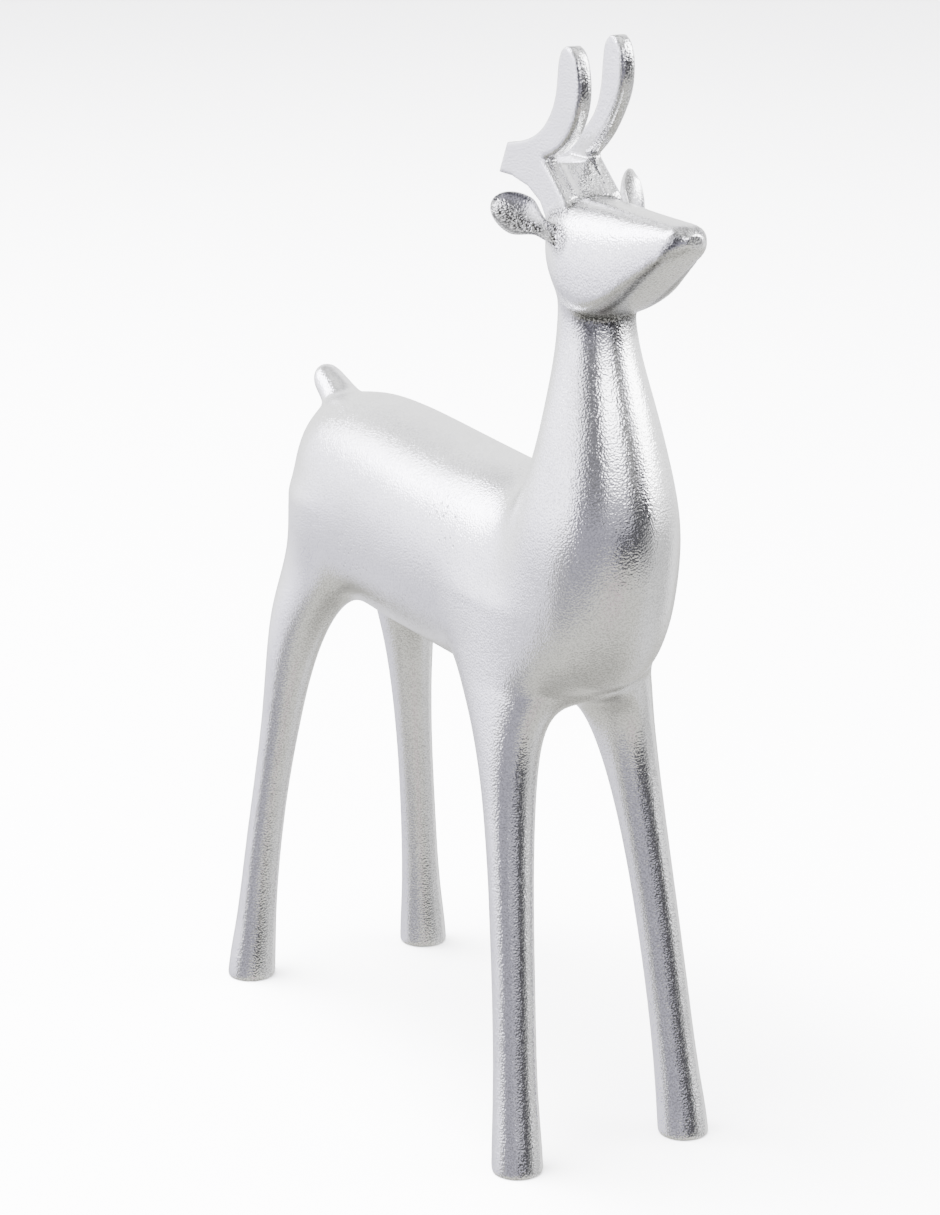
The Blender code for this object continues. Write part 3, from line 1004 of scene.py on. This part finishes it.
# %% The satin finish
# Lumps of each noise to the metre.
GRAIN_SIZE = 2100.0
PEEL_SIZE = 300.0
MOTTLE_SIZE = 2200.0
PIT_SIZE = 520.0
CLOUD_SIZE = 55.0
PIT_FIELD_SIZE = 38.0
# Heights of relief, and the heights above ground between which the pits set in, in metres.
PEEL_HEIGHT = 0.00003
GRAIN_HEIGHT = 0.0001
PIT_DEPTH = 0.00012
PITS_FROM = (0.105, 0.120)
# Where each noise starts to tell, and where it tells in full.
PIT_EDGE = (0.10, 0.24)
PIT_FIELD_EDGE = (0.56, 0.66)
CLOUD_EDGE = (0.35, 0.65)
ROUGH_EDGE = (0.3, 0.7)
SPECK_EDGE = (0.44, 0.58)
SHADE_BREAKUP_EDGE = (0.35, 0.6)
SALT_EDGE = (0.34, 0.62)
# How strong the specks and the breakup of painted shade are at those two places, and how far the mottle
# dims and lifts the metal.
SPECK_ENDS = (1.0, 0.2)
SHADE_BREAKUP_ENDS = (1.0, 0.75)
SALT_ENDS = (0.78, 1.07)
PIT_DARKENS = 0.5
BRIGHT_METAL = (0.93, 0.93, 0.94, 1)
RUBBED_METAL = (0.87, 0.87, 0.88, 1)
PIT_SHADE = (0.45, 0.45, 0.47, 1)
# Dark speck colour of painted shade, and the darker metal colour of painted shade and painted dark
# reflections.
PAINTED_SHADE_SPECKS = (0.07, 0.068, 0.065, 1)
PAINTED_SHADE_COLOUR = (0.03, 0.03, 0.035, 1)
ROUGHNESS = (0.06, 0.10)

satin = bpy.data.materials.new("satin cast metal")
satin.use_nodes = True
tree = satin.node_tree
shader = tree.nodes["Principled BSDF"]
place = add_node(tree, "ShaderNodeTexCoord").outputs["Object"]


def noise(size, detail):
    made = add_node(tree, "ShaderNodeTexNoise", {"Vector": place, "Scale": size, "Detail": detail})
    return made.outputs["Fac"]


def amount(name):
    """An amount kept on the mesh's points."""
    return add_node(tree, "ShaderNodeAttribute", attribute_name=name).outputs["Fac"]


grain = noise(GRAIN_SIZE, 0.6)
peel = noise(PEEL_SIZE, 2.0)
cloud = noise(CLOUD_SIZE, 3.0)
mottle = noise(MOTTLE_SIZE, 1.0)
pit_field = noise(PIT_FIELD_SIZE, 2.0)
pits = add_node(tree, "ShaderNodeTexVoronoi", {"Vector": place, "Scale": PIT_SIZE, "Randomness": 1.0})
# Amounts of painted shade and painted dark reflections kept on the mesh.
shade_and_grain_here = amount("shade_and_grain")
painted_shade_and_reflection_here = amount("painted_shade_and_reflection")
height_here = add_node(tree, "ShaderNodeSeparateXYZ", {0: place}).outputs["Z"]
on_body = ease(tree, height_here, *PITS_FROM)
pit = ease(tree, pits.outputs["Distance"], *PIT_EDGE, 1.0, 0.0)
pit = math_node(tree, "MULTIPLY", pit, ease(tree, pit_field, *PIT_FIELD_EDGE))
pit = math_node(tree, "MULTIPLY", pit, on_body)
base = mix_colours(tree, ease(tree, cloud, *CLOUD_EDGE), BRIGHT_METAL, RUBBED_METAL)
base = mix_colours(tree, math_node(tree, "MULTIPLY", pit, PIT_DARKENS), base, PIT_SHADE)
# Dark specks of painted shade, then darker metal for painted shade and painted dark reflections, broken up
# by the mottle.
specks = ease(tree, grain, *SPECK_EDGE, *SPECK_ENDS)
base = mix_colours(tree, math_node(tree, "MULTIPLY", shade_and_grain_here, specks), base, PAINTED_SHADE_SPECKS)
painted_shade_breakup = ease(tree, mottle, *SHADE_BREAKUP_EDGE, *SHADE_BREAKUP_ENDS)
base = mix_colours(tree, math_node(tree, "MULTIPLY", painted_shade_and_reflection_here, painted_shade_breakup), base, PAINTED_SHADE_COLOUR)
salt = ease(tree, mottle, *SALT_EDGE, *SALT_ENDS)
base = add_node(tree, "ShaderNodeVectorMath", {0: base, 3: salt}, operation="SCALE").outputs[0]
tree.links.new(base, shader.inputs["Base Color"])
rough = ease(tree, cloud, *ROUGH_EDGE, *ROUGHNESS)
tree.links.new(rough, shader.inputs["Roughness"])
shader.inputs["Metallic"].default_value = 1.0


def bump(field, height, under=None, invert=False):
    """Relief of that height on top of the relief under it."""
    inputs = {"Height": field, "Strength": 1.0, "Distance": height}
    if under:
        inputs["Normal"] = under
    return add_node(tree, "ShaderNodeBump", inputs, invert=invert).outputs[0]


coarser = math_node(tree, "MULTIPLY_ADD", shade_and_grain_here, 1.0, 1.0)
relief = bump(peel, PEEL_HEIGHT)
relief = bump(math_node(tree, "MULTIPLY", grain, coarser), GRAIN_HEIGHT, relief)
relief = bump(pit, PIT_DEPTH, relief, invert=True)
tree.links.new(relief, shader.inputs["Normal"])
deer.data.materials.clear()
deer.data.materials.append(satin)
print("satin nodes:", len(tree.nodes))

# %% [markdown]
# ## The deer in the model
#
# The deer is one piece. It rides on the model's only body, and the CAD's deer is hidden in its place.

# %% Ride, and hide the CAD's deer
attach(deer, "root")
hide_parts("deer")
bpy.context.view_layer.update()
